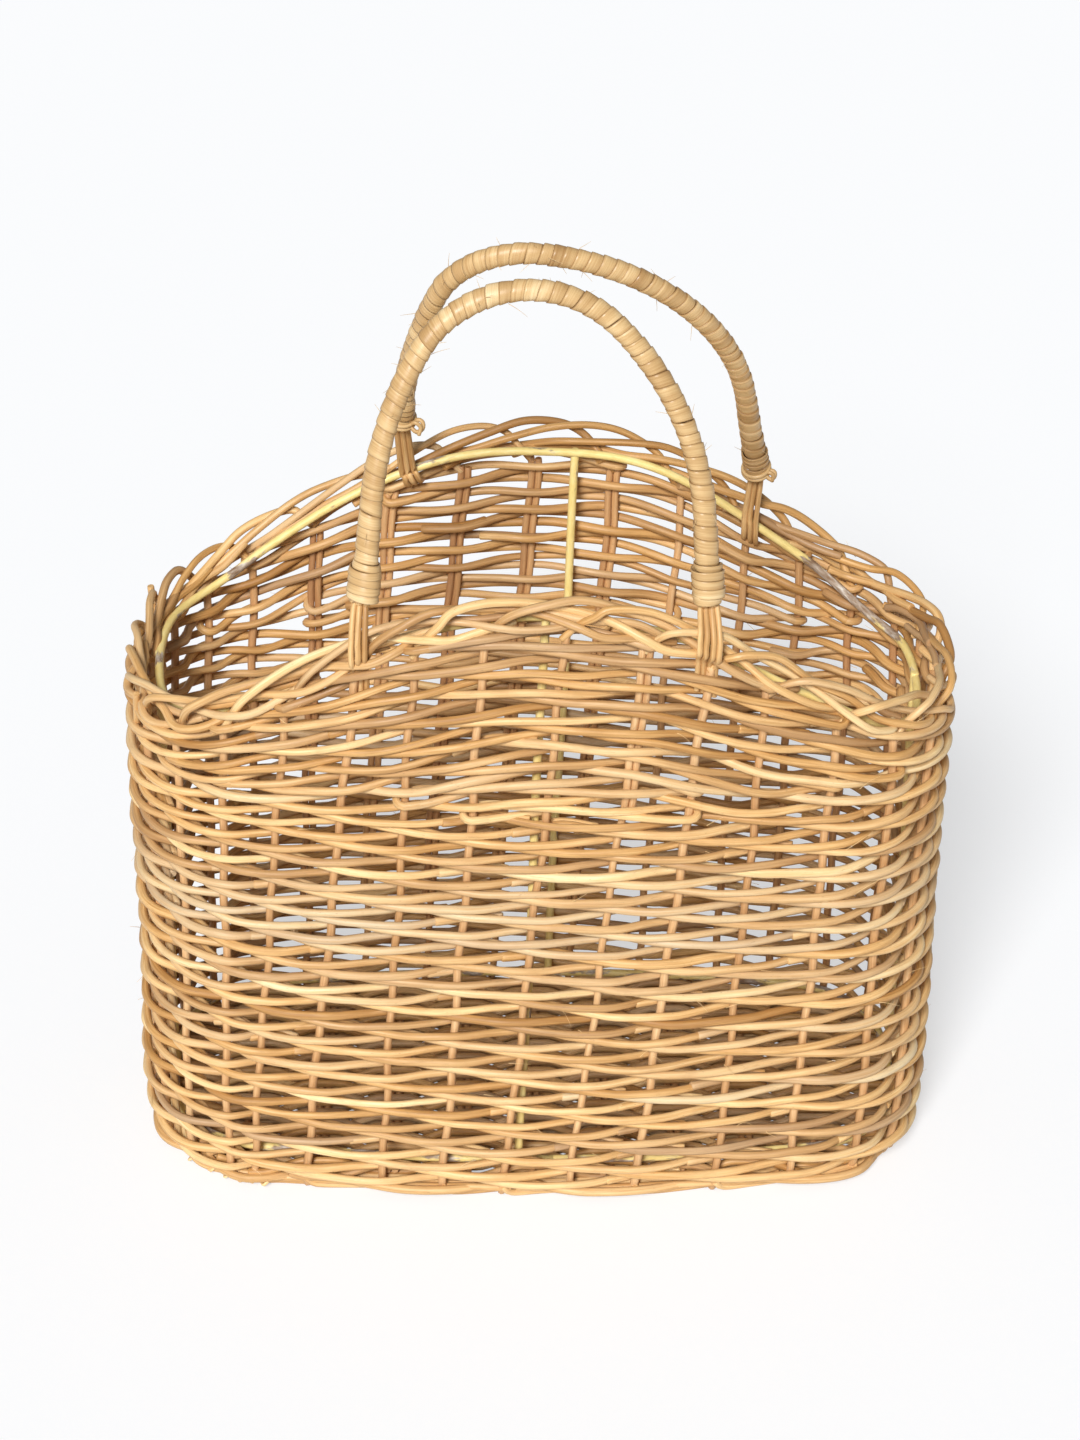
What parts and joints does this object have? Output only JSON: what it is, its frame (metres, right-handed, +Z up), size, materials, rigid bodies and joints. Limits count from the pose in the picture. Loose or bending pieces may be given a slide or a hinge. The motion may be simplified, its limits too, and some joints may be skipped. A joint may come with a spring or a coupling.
{
  "type": "woven market basket",
  "caption": "Oblong cane market basket with an arched plaited rim, a painted wire frame inside and hoop handles bound with peel that lean on their bare cane feet.",
  "frame": {"origin": "on the floor under the middle of the basket", "axes": "+X along the basket's length, towards the right of its front; +Y from its front to its back; +Z up"},
  "size_m": [0.4026, 0.2026, 0.4833],
  "materials": {
    "weaving_cane": "satin split-free round cane, honey tan, some strands greyed",
    "stake_cane": "satin round cane, slightly pinker than the weave",
    "border_cane": "satin round cane with blunt cut ends",
    "handle_cane": "satin round cane",
    "peel_wrap": "flat peel, pale straw, smooth with fine grain along the strip",
    "painted_wire": "pale yellow paint, worn through in patches"
  },
  "bodies": {
    "basket": {"foot_border": "weaving_cane", "base_weave_lower": "weaving_cane", "base_sticks": "stake_cane", "base_weave_upper": "weaving_cane", "stake_01": "stake_cane", "stake_02": "stake_cane", "stake_03": "stake_cane", "stake_04": "stake_cane", "stake_05": "stake_cane", "stake_06": "stake_cane", "stake_07": "stake_cane", "stake_08": "stake_cane", "stake_09": "stake_cane", "stake_10": "stake_cane", "stake_11": "stake_cane", "stake_12": "stake_cane", "stake_13": "stake_cane", "stake_14": "stake_cane", "stake_15": "stake_cane", "stake_16": "stake_cane", "stake_17": "stake_cane", "stake_18": "stake_cane", "stake_19": "stake_cane", "stake_20": "stake_cane", "stake_21": "stake_cane", "stake_22": "stake_cane", "stake_23": "stake_cane", "stake_24": "stake_cane", "stake_25": "stake_cane", "stake_26": "stake_cane", "stake_27": "stake_cane", "stake_28": "stake_cane", "stake_29": "stake_cane", "stake_30": "stake_cane", "stake_31": "stake_cane", "stake_32": "stake_cane", "stake_33": "stake_cane", "outer_weave": "weaving_cane", "inner_weave": "weaving_cane", "rim_border": "border_cane", "wire_top_hoop": "painted_wire", "wire_base_hoop": "painted_wire", "wire_upright_front": "painted_wire", "wire_upright_back": "painted_wire", "wire_upright_left": "painted_wire", "wire_upright_right": "painted_wire", "front_handle_tail_left": "handle_cane", "front_handle_tail_right": "handle_cane", "back_handle_tail_left": "handle_cane", "back_handle_tail_right": "handle_cane"},
    "front_handle": {"front_handle_wrap": "peel_wrap", "front_handle_canes": "handle_cane", "front_handle_leg_left": "handle_cane", "front_handle_leg_right": "handle_cane"},
    "back_handle": {"back_handle_wrap": "peel_wrap", "back_handle_canes": "handle_cane", "back_handle_leg_left": "handle_cane", "back_handle_leg_right": "handle_cane", "back_handle_knot_left": "peel_wrap", "back_handle_knot_right": "peel_wrap"}
  },
  "joints": [
    {"name": "front_handle_lean", "type": "hinge", "parent": "basket", "child": "front_handle", "pos_m": [0, -0.091, 0.327], "axis": [1, 0, 0], "range_deg": [-16, 27]},
    {"name": "back_handle_lean", "type": "hinge", "parent": "basket", "child": "back_handle", "pos_m": [0.0215, 0.0745, 0.3245], "axis": [0.9949, 0, -0.1011], "range_deg": [-40, 5]}
  ]
}
